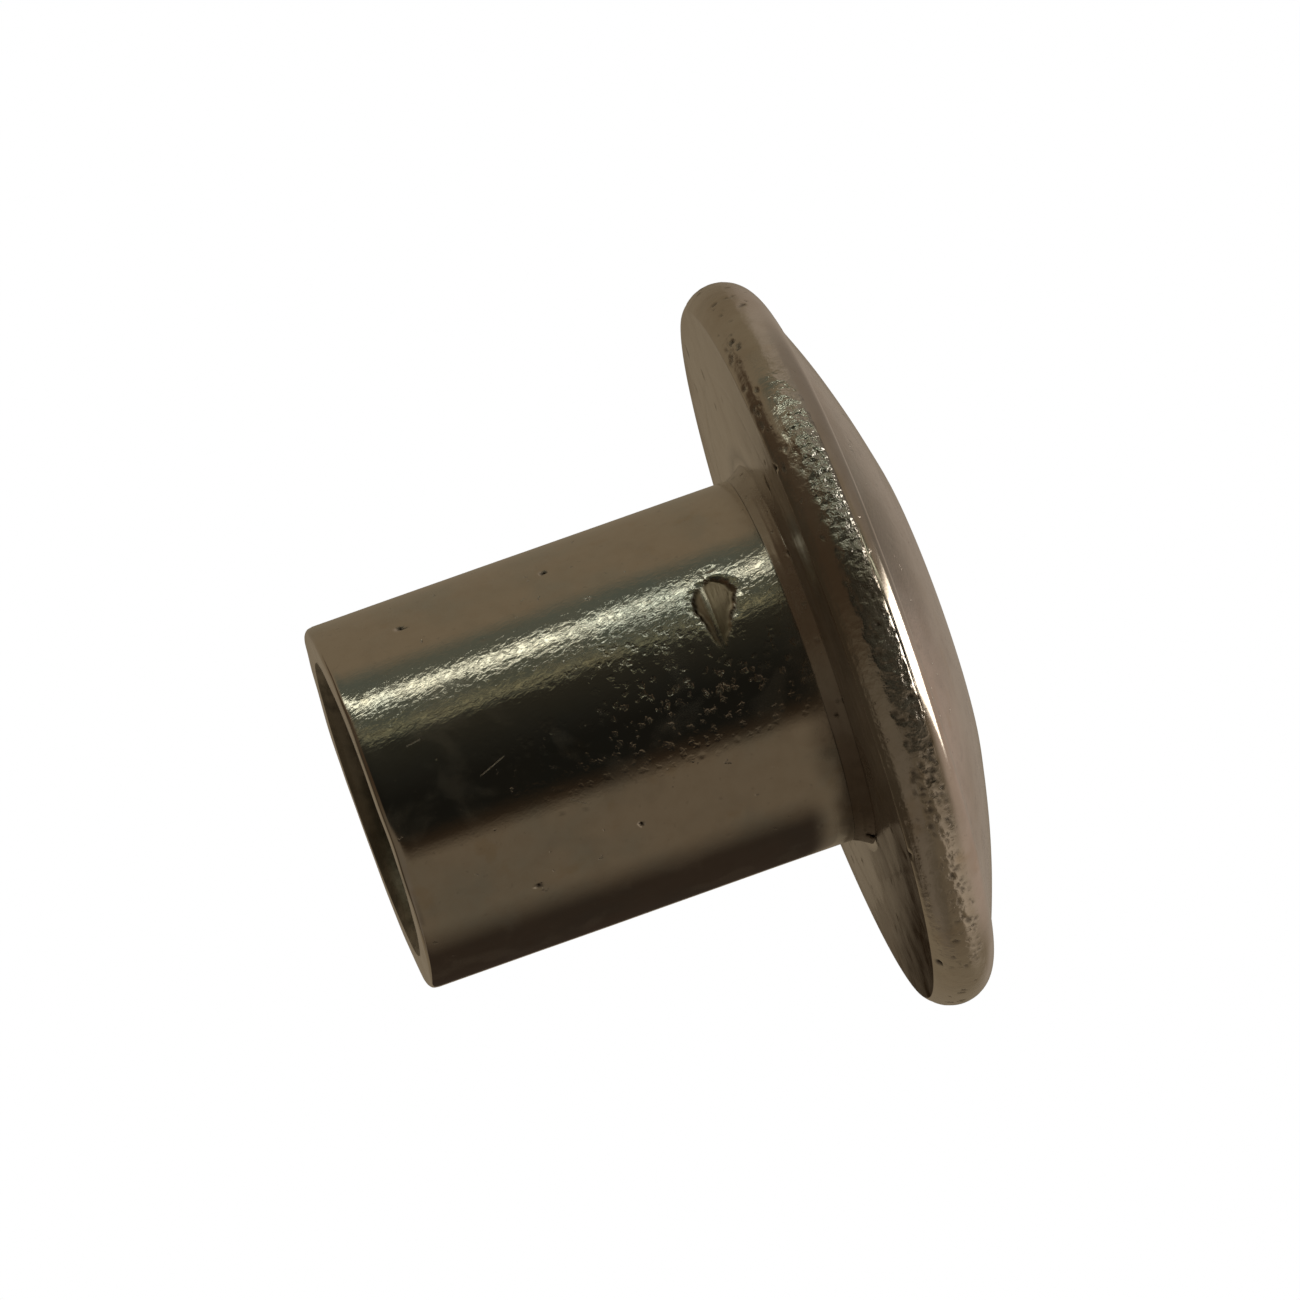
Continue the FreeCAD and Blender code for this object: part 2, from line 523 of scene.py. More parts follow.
def flange_wear(place):
    """The rim's folds, the line where it meets the seat, the scored seat, and pits everywhere."""
    x, r, angle, points = place["x"], place["r"], place["angle"], place["point"]
    lean = np.degrees(np.arctan2(x - rim_widest_x, r - rim_centre_r))
    on_rim = (r > rim_centre_r) * ease_between(lean, -58, -40) * (1 - ease_between(lean, 26, 33))
    on_dome = ease_between(x, rim_height, rim_height + 1.5) * ease_between(r, bore_r + 1, bore_r + 2.5)
    on_seat = (x < 0.02) * ease_between(r, ring_r + 0.1, ring_r + 0.4)
    front_half = ease_between(lean, -20, 4)

    crumpled = crumpled_share(place, front_half)
    squeezed = points * np.array([0.8, 1, 1])
    rim_depth = on_rim * (LEAST_FOLD + CRUMPLED_FOLD * crumpled) * (1 - folds(squeezed, 0.38, seed=43))
    seat_line = EDGE_LINE * hump(lean, -43, 2.5) * (r > rim_centre_r)
    scored = SCORE * hump(r, SCORED_R, 0.1) + SEAT_RELIEF * ease_between(r, SCORED_R, 17.0)
    seat_depth = on_seat * scored * (1 - ease_between(r, 17.6, 17.95))
    slow_swell = DOME_SWELL * (1 + noise(points, 3.4, seed=51))
    swell = (slow_swell + QUICK_DOME_SWELL * (1 + noise(points, 1.1, seed=52))) * on_dome
    pitted, domed, seated = flange_pits(place, on_rim, on_dome, on_seat)
    nicked = pits(place, placed(NICKS))
    depth = rim_depth + seat_line + seat_depth + swell + pitted + nicked + domed + seated

    blotches = ease_between(noise(points, 2.4, seed=57), -0.1, 0.6)
    blotches = blotches + ease_between(noise(points, 0.7, seed=58), 0.1, 0.7)
    mottled = 0.07 * on_dome * blotches
    layers = {
        "grime": pitted * 8 + nicked * 9 + seated * 6 + domed * 4 + mottled,
        "grain": np.maximum(0.3 * on_dome, on_rim * (0.3 + 0.6 * crumpled)) + 0.12 * on_seat,
        # The crumpled share also brightens the rim's colour: partly a painted sheen.
        "crumpled": on_rim * crumpled,
        "pitted": on_rim * np.maximum(hump(angle, -8, 20) * front_half, 0.5 * hump(angle, -42, 26)),
        "stain": flange_stain_and_shade(place, on_rim, on_seat, front_half),
    }
    return depth, layers


# Voids in the braze: where (x, r, degrees), radius, depth
VOIDS = [
    ((-0.05, ring_r, -76), 0.34, 0.3),
    ((-0.5, ring_r - 0.25, -20), 0.14, 0.06),
    ((-0.3, ring_r - 0.15, 160), 0.3, 0.2),
]

LINE_STEP = 0.3  # between the turned lines in the ring's face

# Typical depths in mm: those lines, and the ring's large and small lumps
LINE = 0.0015
LUMP = 0.009
SMALL_LUMP = 0.003


def ring_spot(reach):
    """The (x, r) of the ring's face at that place along it."""
    return reach, ring_r + (ring_r - barrel_r) / -shoulder_x * reach


def ring_wear(place):
    """Turned lines, lumps, pits and voids in the ring's hollow face."""
    rng = np.random.default_rng(seed=13)
    x, points = place["x"], place["point"]
    shows = (x < 0.01) * ease_between(place["r"], spigot_r + 0.2, spigot_r + 0.4)
    small = scattered(rng, 46, (shoulder_x + 0.1, -0.05), ALL_ROUND, ring_spot, (0.08, 0.17), 0.25)
    deep = pits(place, placed(VOIDS))
    fine = pits(place, small)
    turned_lines = LINE * (1 + np.sin(x * 2 * math.pi / LINE_STEP))
    lumps = LUMP * (1 + noise(points, 1.5, seed=61)) + SMALL_LUMP * (1 + noise(points, 0.4, seed=62))
    # Painted shade: the ring darkens low at the front, where it sits in shade; the rest is an even stain.
    painted_shade_low_front = 1 - ease_between(np.abs(turned_from(place, -60)), 15, 75)
    layers = {
        "grime": deep * 12 + fine * 6,
        "grain": 0.35 + 0 * x,
        "pitted": 0 * x,
        "stain": 0.23 + 0.54 * painted_shade_low_front + 0.06 * noise(points, 2.0, seed=63),
    }
    return (turned_lines + lumps + deep + fine) * shows, layers


# ---------------------------------------------------------------- materials


class Tree:
    """A node tree with short ways to add and join nodes."""

    def __init__(self, owner):
        owner.use_nodes = True
        self.nodes = owner.node_tree.nodes
        self.links = owner.node_tree.links
        self.nodes.clear()

    def add(self, kind, inputs=None, **settings):
        node = self.nodes.new(kind)
        for key, value in settings.items():
            setattr(node, key, value)
        for key, value in (inputs or {}).items():
            self.put(node.inputs[key], value)
        return node

    def put(self, socket, value):
        if isinstance(value, bpy.types.NodeSocket):
            self.links.new(value, socket)
        else:
            socket.default_value = value

    def math(self, operation, first, second=0.0, clamp=False):
        node = self.add("ShaderNodeMath", {0: first, 1: second}, operation=operation, use_clamp=clamp)
        return node.outputs[0]

    def product(self, first, second):
        return self.math("MULTIPLY", first, second)

    def total(self, *values):
        result = values[0]
        for value in values[1:]:
            result = self.math("ADD", result, value)
        return result

    def remap(self, value, start, end, low=0.0, high=1.0):
        """A smooth change from low to high as value goes from start to end."""
        inputs = {"Value": value, "From Min": start, "From Max": end, "To Min": low, "To Max": high}
        node = self.add("ShaderNodeMapRange", inputs, interpolation_type="SMOOTHSTEP")
        return node.outputs["Result"]

    def mix(self, share, first, second):
        """A blend of two colours."""
        node = self.add("ShaderNodeMix", data_type="RGBA")
        self.put(node.inputs["Factor"], share)
        colours = [socket for socket in node.inputs if socket.type == "RGBA"]
        self.put(colours[0], first)
        self.put(colours[1], second)
        return next(socket for socket in node.outputs if socket.type == "RGBA")

    def ramp(self, position, stops):
        node = self.add("ShaderNodeValToRGB", {"Fac": position})
        elements = node.color_ramp.elements
        elements[0].position, elements[0].color = stops[0]
        elements[1].position, elements[1].color = stops[-1]
        for place, colour in stops[1:-1]:
            elements.new(place).color = colour
        return node.outputs["Color"]

    def layer(self, name):
        return self.add("ShaderNodeAttribute", attribute_name=name).outputs["Fac"]

    def in_mm(self):
        place = self.add("ShaderNodeTexCoord").outputs["Object"]
        scale = (1 / MM, 1 / MM, 1 / MM)
        return self.add("ShaderNodeMapping", {"Vector": place, "Scale": scale}).outputs[0]

    def cloud(self, place, size, detail=3.0, roughness=0.55, distortion=0.0):
        """Noise from about 0.3 to 0.7 with features of that size in mm."""
        inputs = {"Vector": place, "Scale": 1 / size, "Detail": detail}
        inputs.update({"Roughness": roughness, "Distortion": distortion})
        return self.add("ShaderNodeTexNoise", inputs).outputs["Fac"]

    def bent(self, place, size, reach):
        """The place pushed about by noise of that size, through about that many mm."""
        jitter = self.add("ShaderNodeTexNoise", {"Vector": place, "Scale": 1 / size, "Detail": 2.0})
        inputs = {0: jitter.outputs["Color"], 1: (reach, reach, reach), 2: place}
        return self.add("ShaderNodeVectorMath", inputs, operation="MULTIPLY_ADD").outputs[0]

    def facets(self, place, size):
        """Small slanted planes, like crumpled foil, that rise from 0 to about 0.7."""
        inputs = {"Vector": self.bent(place, size / 3, size / 2), "Scale": 1 / size}
        cells = self.add("ShaderNodeTexVoronoi", inputs, distance="MANHATTAN")
        return cells.outputs["Distance"]

    def scratch(self, place, middle, slant, half_length):
        """A hairline on the front, about a middle (x, z) and with its +x end that much higher."""
        turn = (0, -slant, 0)
        inputs = {"Vector": place, "Location": (middle[0], 0, middle[1]), "Rotation": turn}
        local = self.add("ShaderNodeMapping", inputs, vector_type="TEXTURE").outputs[0]
        parts = self.add("ShaderNodeSeparateXYZ", {"Vector": local}).outputs
        across = self.remap(self.math("ABSOLUTE", parts["Z"]), 0.05, 0.015)
        along = self.remap(self.math("ABSOLUTE", parts["X"]), half_length, half_length * 0.7)
        front = self.math("LESS_THAN", parts["Y"], 0.0)
        return self.product(self.product(across, along), front)

    def spots(self, place, size, inner, outer, share):
        """Ragged spots scattered about that many mm apart, in a share of the places for them."""
        inputs = {"Vector": self.bent(place, size * 0.4, size * 0.9), "Scale": 1 / size}
        cells = self.add("ShaderNodeTexVoronoi", inputs).outputs
        chance = self.add("ShaderNodeSeparateColor", {"Color": cells["Color"]}).outputs["Red"]
        chosen = self.math("LESS_THAN", chance, share)
        return self.product(self.remap(cells["Distance"], outer, inner), chosen)

    def finish(self, colour, metal, gloss, rough, height):
        """The metal surface, with its relief given in mm."""
        normal = self.add("ShaderNodeBump", {"Height": height, "Distance": MM}).outputs["Normal"]
        inputs = {"Base Color": colour, "Metallic": metal, "Roughness": rough, "Normal": normal}
        inputs["Specular IOR Level"] = gloss
        surface = self.add("ShaderNodeBsdfPrincipled", inputs).outputs["BSDF"]
        self.add("ShaderNodeOutputMaterial", {"Surface": surface})


NICKEL = (0.66, 0.61, 0.53, 1)
WARM_NICKEL = (0.55, 0.48, 0.39, 1)
GREY_NICKEL = (0.58, 0.58, 0.53, 1)
# Bright green-white plate for the crumpled rim: partly a painted sheen of the window's glints.
BRIGHT_PLATE_SHEEN = (0.80, 0.83, 0.75, 1)
BRASS_SHOWING = (0.52, 0.38, 0.20, 1)
# Dark brown for real stain and for painted shade alike.
STAIN_AND_SHADE = (0.13, 0.095, 0.068, 1)
SCRAPED = (0.36, 0.285, 0.205, 1)
TARNISH = (0.03, 0.02, 0.013, 1)
BORE_METAL = (0.34, 0.31, 0.24, 1)
BORE_STAIN = (0.2, 0.185, 0.14, 1)

FLAKE_TILT = math.radians(18)  # the flakes lie slightly slanted to the axis
FLAKE_STRETCH = 0.4
PLOUGH_STRETCH = 0.15
FOIL_SIZE = 0.6

# Heights in mm of the plate's finest grain, its foil and the gouge's lines, and then the depths
# of its ragged pits and its pricks
FINE_GRAIN = 0.0015
FOIL = 0.2
PLOUGHED = 0.02
EATEN = 0.036
PRICKED = 0.01

# Hairlines on the barrel's front: (middle x and z), slant, half length
SCRATCHES = [
    ((-17.33, -0.06), math.radians(21), 0.85),
    ((-13.9, -3.1), math.radians(-34), 0.5),
    ((-20.6, 2.3), math.radians(8), 0.45),
]

PLATE_LAYERS = ("grime", "grain", "pitted", "stain", "scraped", "crumpled")
PLAIN_GLOSS = 0.5  # the specular level of clean metal


def plate_marks(tree, place, layers):
    """The patches and marks on the plate, each as a share from 0 to 1."""
    mottle = tree.remap(tree.cloud(place, 0.8, detail=4.0), 0.35, 0.75)
    specks = tree.remap(tree.cloud(place, 0.33, detail=2.0), 0.66, 0.74)
    eaten = tree.product(tree.spots(place, size=0.46, inner=0.06, outer=0.5, share=0.8), layers["pitted"])
    pricked = tree.spots(place, size=0.75, inner=0.05, outer=0.16, share=0.22)
    small = tree.total(tree.product(eaten, 0.25), tree.product(pricked, 0.3), tree.product(specks, 0.08))
    evenly = tree.remap(mottle, 0.0, 1.0, 0.92, 1.0)
    return {
        "patches": tree.remap(tree.cloud(place, 5.5), 0.42, 0.68),
        "mottle": mottle,
        "worn": tree.remap(tree.cloud(place, 2.2, detail=5.0), 0.58, 0.72),
        "hazy": tree.remap(tree.cloud(place, 2.6, detail=3.0, roughness=0.5, distortion=0.5), 0.5, 0.68),
        "eaten": eaten,
        "pricked": pricked,
        # Stain and painted shade, evened out a little by the mottle.
        "stained": tree.math("MULTIPLY", layers["stain"], evenly, clamp=True),
        "dirt": tree.math("ADD", layers["grime"], small, clamp=True),
    }


def plate_colour(tree, plate, tint, layers, marks):
    """The plate in tint patches, worn to brass, bright in its folds (partly a painted sheen), scraped,
    stained and darkened by painted shade, and dirty.
    """
    colour = tree.mix(marks["patches"], plate, tint)
    colour = tree.mix(tree.product(marks["mottle"], 0.3), colour, WARM_NICKEL)
    colour = tree.mix(tree.product(marks["worn"], 0.25), colour, BRASS_SHOWING)
    # The crumpled rim turns bright green-white, partly a painted sheen where the window glints.
    colour = tree.mix(tree.product(layers["crumpled"], 0.8), colour, BRIGHT_PLATE_SHEEN)
    colour = tree.mix(layers["scraped"], colour, SCRAPED)
    # Stain and painted shade darken the plate: low on the seat, on the ring and next to the barrel's root.
    colour = tree.mix(marks["stained"], colour, STAIN_AND_SHADE)
    return tree.mix(marks["dirt"], colour, TARNISH)


def plate_roughness(tree, clean, layers, marks):
    """The clean plate's roughness, raised a little in patches, and most by scrapes and dirt."""
    rough = tree.total(clean, tree.product(marks["patches"], 0.015), tree.product(marks["mottle"], 0.03))
    rough = tree.total(rough, tree.product(marks["hazy"], 0.03), tree.product(layers["stain"], 0.05))
    rough = tree.total(rough, tree.product(layers["scraped"], 0.26))
    return tree.math("ADD", rough, tree.product(marks["dirt"], 0.45), clamp=True)


def plate_relief(tree, place, layers, marks, flake_size, flake_depth):
    """The height in mm of the plate's flakes and crumpled foil, the gouge's lines, and the pits."""
    tilted = tree.add("ShaderNodeMapping", {"Vector": place, "Rotation": (0, FLAKE_TILT, 0)}).outputs[0]
    drawn_out = tree.add("ShaderNodeMapping", {"Vector": tilted, "Scale": (FLAKE_STRETCH, 1, 1)}).outputs[0]
    flaky = tree.cloud(drawn_out, flake_size, detail=3.0, roughness=0.6, distortion=0.4)
    flakes = tree.product(tree.remap(flaky, 0.36, 0.8), tree.product(layers["grain"], flake_depth))
    fine = tree.product(tree.cloud(place, 0.14, detail=2.0), FINE_GRAIN)
    foil = tree.product(tree.facets(place, FOIL_SIZE), tree.product(layers["crumpled"], FOIL))
    stretch = (1, PLOUGH_STRETCH, PLOUGH_STRETCH)
    lengthwise = tree.add("ShaderNodeMapping", {"Vector": place, "Scale": stretch}).outputs[0]
    lines = tree.cloud(lengthwise, 0.16, detail=2.0)
    ploughed = tree.product(lines, tree.product(layers["scraped"], PLOUGHED))
    hollows = tree.total(tree.product(marks["eaten"], EATEN), tree.product(marks["pricked"], PRICKED))
    return tree.math("SUBTRACT", tree.total(flakes, fine, foil, ploughed), hollows)


def worn_plate(name, plate, tint, roughness, flake_size, flake_depth, scratches):
    """Plated metal with flakes, pits, stains, painted shade and dirt, which take the shine off where they
    are.

    scratches are (middle, slant, half_length), as Tree.scratch takes them.
    """
    material = bpy.data.materials.new(name)
    tree = Tree(material)
    place = tree.in_mm()
    layers = {layer: tree.layer(layer) for layer in PLATE_LAYERS}
    marks = plate_marks(tree, place, layers)
    scratched = 0.0
    for middle, slant, half_length in scratches:
        scratched = tree.total(scratched, tree.scratch(place, middle, slant, half_length))

    dirt, stained = marks["dirt"], marks["stained"]
    haze = tree.product(marks["hazy"], 0.15)
    film = tree.total(tree.product(dirt, 0.9), haze, tree.product(scratched, 0.8))
    # Stain and painted shade turn the metal into a dark, diffuse surface.
    metal = tree.math("SUBTRACT", tree.math("SUBTRACT", 1.0, stained), film, clamp=True)
    dulled = tree.total(tree.product(stained, 1.3), tree.product(dirt, PLAIN_GLOSS))
    gloss = tree.math("SUBTRACT", PLAIN_GLOSS, dulled, clamp=True)
    colour = plate_colour(tree, plate, tint, layers, marks)
    rough = plate_roughness(tree, roughness, layers, marks)
    relief = plate_relief(tree, place, layers, marks, flake_size, flake_depth)
    tree.finish(colour, metal, gloss, rough, relief)
    return material


def dull_bore(name):
    """The inside of the waterway: unpolished, stained metal."""
    material = bpy.data.materials.new(name)
    tree = Tree(material)
    place = tree.in_mm()
    # The cloud here is random stain on the bore, with no shade painted in it.
    stain = tree.remap(tree.cloud(place, 2.0, detail=5.0), 0.4, 0.62)
    fine = tree.cloud(place, 0.35, detail=4.0)
    colour = tree.mix(stain, BORE_METAL, BORE_STAIN)
    rough = tree.total(0.35, tree.product(fine, 0.25))
    tree.finish(colour, 0.7, PLAIN_GLOSS, rough, tree.product(fine, 0.03))
    return material


# ---------------------------------------------------------------- the three pieces


def barrel_stretches():
    """The bore, the spigot, the shoulder, the outer wall and the free end."""
    few = BARREL_ROUND // ROUGHER
    bore_mouth = (free_end_x + bore_chamfer, bore_r)
    wall_end = (free_end_x + barrel_end_radius, barrel_r)
    crisp_x = shoulder_x - CRISP
    marked_end = (-12.0, barrel_r)
    face_outer = (free_end_x, barrel_r - barrel_end_radius)
    face_inner = (free_end_x, bore_r + bore_chamfer)
    end_centre = (wall_end[0], face_outer[1])
    return [
        (run(bore_mouth, (socket_x, bore_r), COARSE), few, BORE),
        (run((socket_x, bore_r), (socket_x, spigot_r), COARSE), few, PLATE),
        (run((socket_x, spigot_r), (shoulder_x, spigot_r), COARSE), few, PLATE),
        (run((shoulder_x, spigot_r), (shoulder_x, barrel_r), COARSE), few, PLATE),
        (run((shoulder_x, barrel_r), (crisp_x, barrel_r), CRISP), BARREL_ROUND, PLATE),
        (run((crisp_x, barrel_r), marked_end, FINE), BARREL_ROUND, PLATE),
        (run(marked_end, wall_end, MEDIUM), BARREL_ROUND, PLATE),
        (arc(end_centre, barrel_end_radius, 0, -90, FINE), BARREL_ROUND, PLATE),
        (run(face_outer, face_inner, MEDIUM), BARREL_ROUND, PLATE),
        (run(face_inner, bore_mouth, MEDIUM), BARREL_ROUND, BORE),
    ]


def direction(way_x, way_r):
    """The direction of an (x, r) step, in degrees as arc() takes them."""
    return math.degrees(math.atan2(way_x, way_r))


def seat_edge_centre():
    """Centre of the small rounding that touches the seat and the rim's section from inside."""
    reach = rim_round_radius - seat_edge_radius
    drop = rim_widest_x - seat_edge_radius
    return seat_edge_radius, rim_centre_r + math.sqrt(reach**2 - drop**2)


def dome_edge_centre():
    """Centre of the small rounding that touches the rim's section and the dome from inside."""
    rim_reach = rim_round_radius - dome_edge_radius
    dome_reach = dome_r - dome_edge_radius
    apart = math.hypot(dome_centre_x - rim_widest_x, rim_centre_r)
    from_dome = (dome_reach**2 - rim_reach**2 + apart**2) / (2 * apart)
    aside = math.sqrt(dome_reach**2 - from_dome**2)
    to_rim = np.array([rim_widest_x - dome_centre_x, rim_centre_r]) / apart
    across = np.array([to_rim[1], -to_rim[0]])
    return tuple(np.array([dome_centre_x, 0.0]) + to_rim * from_dome + across * aside)


def flange_stretches():
    """The bore, the lip, the dome, the bulging rim, the seat, the countersink and the socket."""
    few = FLANGE_ROUND // ROUGHER
    lip_centre_r = bore_r + lip_radius
    lip_centre_x = dome_centre_x + math.sqrt((dome_r - lip_radius) ** 2 - lip_centre_r**2)
    lip_direction = direction(lip_centre_x - dome_centre_x, lip_centre_r)
    plain_reach = 12.0
    plain_direction = math.degrees(math.acos(plain_reach / dome_r))
    close_direction = math.degrees(math.acos((dome_base_r - 1.0) / dome_r))
    edge_x, edge_r = dome_edge_centre()
    dome_direction = direction(edge_x - dome_centre_x, edge_r)
    rim_front = direction(edge_x - rim_widest_x, edge_r - rim_centre_r)
    crisp_width = 4 * CRISP
    dome_turn = dome_direction + math.degrees(crisp_width / dome_r)
    rim_turn = rim_front - math.degrees(crisp_width / rim_round_radius)
    seat_x, seat_r = seat_edge_centre()
    rim_back = direction(seat_x - rim_widest_x, seat_r - rim_centre_r)
    rim_centre = (rim_widest_x, rim_centre_r)
    dome_centre = (dome_centre_x, 0)
    plain_seat_r = 13.0
    return [
        (run((socket_x, bore_r), (lip_centre_x, bore_r), COARSE), few, BORE),
        (arc((lip_centre_x, lip_centre_r), lip_radius, 180, lip_direction, FINE), few, PLATE),
        (arc(dome_centre, dome_r, lip_direction, plain_direction, WIDE), few, PLATE),
        (arc(dome_centre, dome_r, plain_direction, close_direction, WIDE), FLANGE_ROUND, PLATE),
        (arc(dome_centre, dome_r, close_direction, dome_turn, CLOSE), FLANGE_ROUND, PLATE),
        (arc(dome_centre, dome_r, dome_turn, dome_direction, CRISP), FLANGE_ROUND, PLATE),
        (arc((edge_x, edge_r), dome_edge_radius, dome_direction, rim_front, CRISP), FLANGE_ROUND, PLATE),
        (arc(rim_centre, rim_round_radius, rim_front, rim_turn, CRISP), FLANGE_ROUND, PLATE),
        (arc(rim_centre, rim_round_radius, rim_turn, rim_back, CLOSE), FLANGE_ROUND, PLATE),
        (arc((seat_x, seat_r), seat_edge_radius, rim_back, -90, CLOSE), FLANGE_ROUND, PLATE),
        (run((0, seat_r), (0, plain_seat_r), MEDIUM), FLANGE_ROUND, PLATE),
        (run((0, plain_seat_r), (0, ring_r + CRISP), MEDIUM), few, PLATE),
        (run((0, ring_r + CRISP), (0, ring_r), CRISP), few, PLATE),
        (run((0, ring_r), (countersink_x, spigot_r), COARSE), few, PLATE),
        (run((countersink_x, spigot_r), (socket_x, spigot_r), COARSE), few, PLATE),
        (run((socket_x, spigot_r), (socket_x, bore_r), COARSE), few, PLATE),
    ]


def ring_stretches():
    """The braze ring: its inside on the spigot, the countersink's slope, and its hollow face."""
    few = RING_ROUND // ROUGHER
    seat_side = (0.0, ring_r)
    barrel_side = (shoulder_x, barrel_r)
    face_length = math.hypot(shoulder_x, ring_r - barrel_r)
    normal = np.array([barrel_r - ring_r, shoulder_x]) / face_length
    middle = (np.array(seat_side) + barrel_side) / 2 + normal * braze_hollow
    seat_crisp = seat_side + (middle - seat_side) * CRISP / CLOSE
    barrel_crisp = barrel_side + (middle - barrel_side) * CRISP / CLOSE
    return [
        (run((shoulder_x, spigot_r), (countersink_x, spigot_r), COARSE), few, PLATE),
        (run((countersink_x, spigot_r), seat_side, COARSE), few, PLATE),
        (run(seat_side, seat_crisp, CRISP), RING_ROUND, PLATE),
        (run(seat_crisp, middle, CLOSE / 2), RING_ROUND, PLATE),
        (run(middle, barrel_crisp, CLOSE / 2), RING_ROUND, PLATE),
        (run(barrel_crisp, barrel_side, CRISP), RING_ROUND, PLATE),
        (run(barrel_side, (shoulder_x, spigot_r), COARSE), few, PLATE),
    ]


barrel_plate = worn_plate(
    "plated_barrel", NICKEL, GREY_NICKEL,
    roughness=0.075, flake_size=0.2, flake_depth=0.0102, scratches=SCRATCHES,
)
flange_plate = worn_plate(
    "plated_flange", NICKEL, WARM_NICKEL,
    roughness=0.1, flake_size=0.2, flake_depth=0.013, scratches=[],
)
braze_plate = worn_plate(
    "plated_braze", NICKEL, WARM_NICKEL,
    roughness=0.18, flake_size=0.22, flake_depth=0.008, scratches=[],
)
bore_metal = dull_bore("dull_bore")

barrel = turned_piece("barrel_worn", barrel_stretches(), barrel_wear, [barrel_plate, bore_metal])
flange = turned_piece("flange_worn", flange_stretches(), flange_wear, [flange_plate, bore_metal])
ring = turned_piece("braze_ring_worn", ring_stretches(), ring_wear, [braze_plate])

for piece, node, slot in (
    (barrel, "barrel", "plated_barrel"),
    (flange, "domed_flange", "plated_flange"),
    (ring, "braze_ring", "braze"),
):
    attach(piece, "root")
    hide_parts(node)


# ---------------------------------------------------------------- light, floor and camera

BLACK_FRONT = (0.0105, 0.010, 0.008, 1)
GREY_FRONT = (0.017, 0.0165, 0.013, 1)
DIM_FRONT = (0.030, 0.028, 0.020, 1)
BROWN_DARK = (0.030, 0.020, 0.012, 1)
GREEN_GREY = (0.105, 0.112, 0.088, 1)
HAZE = (0.085, 0.092, 0.07, 1)
DIM_STRIP = (0.30, 0.275, 0.16, 1)
WINDOW = (2.2, 2.26, 1.89, 1)
LEFT_END = (0.05, 0.038, 0.025, 1)
TAN_WALL = (0.21, 0.168, 0.115, 1)
TAN_BENCH = (0.15, 0.118, 0.082, 1)
SHADOW = (0.035, 0.025, 0.018, 1)
WHITE = (1, 1, 1, 1)

# What a point on the barrel mirrors, by elevation angle round its axis: 0 is towards the
# camera, 90 straight up, 180 straight behind and -90 straight down.
ROOM_ROUND_BARREL = [
    (-180, TAN_WALL),
    (-150, TAN_WALL),
    (-95, TAN_BENCH),
    (-39, TAN_BENCH),
    (-29, BROWN_DARK),
    (-20, BLACK_FRONT),
    (0, BLACK_FRONT),
    (14, GREY_FRONT),
    (36, DIM_FRONT),
    (40.5, HAZE),
    (41.5, DIM_STRIP),
    (43.5, DIM_STRIP),
    (44.5, HAZE),
    (52, HAZE),
    (61.3, GREEN_GREY),
    (62.2, WINDOW),
    (65.8, WINDOW),
    (66.7, GREEN_GREY),
    (80, GREEN_GREY),
    (92, TAN_WALL),
    (180, TAN_WALL),
]
WINDOW_SLANT = math.radians(20)  # how far the window comes down towards +x

# By height, from -1 straight down to 1 straight up
ROOM_LEFT = [
    (-1.0, (0.10, 0.08, 0.055, 1)),
    (-0.8, (0.16, 0.13, 0.10, 1)),
    (-0.25, (0.13, 0.105, 0.075, 1)),
    (0.0, (0.085, 0.062, 0.040, 1)),
    (0.2, (0.062, 0.040, 0.024, 1)),
    (0.72, (0.07, 0.046, 0.028, 1)),
    (0.8, TAN_WALL),
    (1.0, TAN_WALL),
]
ROOM_RIGHT = [
    (-1.0, (0.42, 0.345, 0.29, 1)),
    (-0.04, (0.42, 0.33, 0.28, 1)),
    (0.04, (0.22, 0.19, 0.165, 1)),
    (0.1, (0.175, 0.155, 0.13, 1)),
    (0.15, (0.22, 0.185, 0.155, 1)),
    (1.0, (0.25, 0.21, 0.175, 1)),
]
BACK_RIGHT = (0.33, 0.275, 0.225, 1)
BRIGHT_BENCH = (0.42, 0.35, 0.28, 1)
SIDE_LIGHT = (4.5, 4.2, 3.9, 1)


def by_height(stops):
    return [((height + 1) / 2, colour) for height, colour in stops]


def part_of_room(tree, *limits):
    """1 inside every limit and 0 outside. A limit is (value, where it is 0, where it is 1)."""
    share = 1.0
    for value, outside, inside in limits:
        share = tree.product(share, tree.remap(value, outside, inside))
    return share


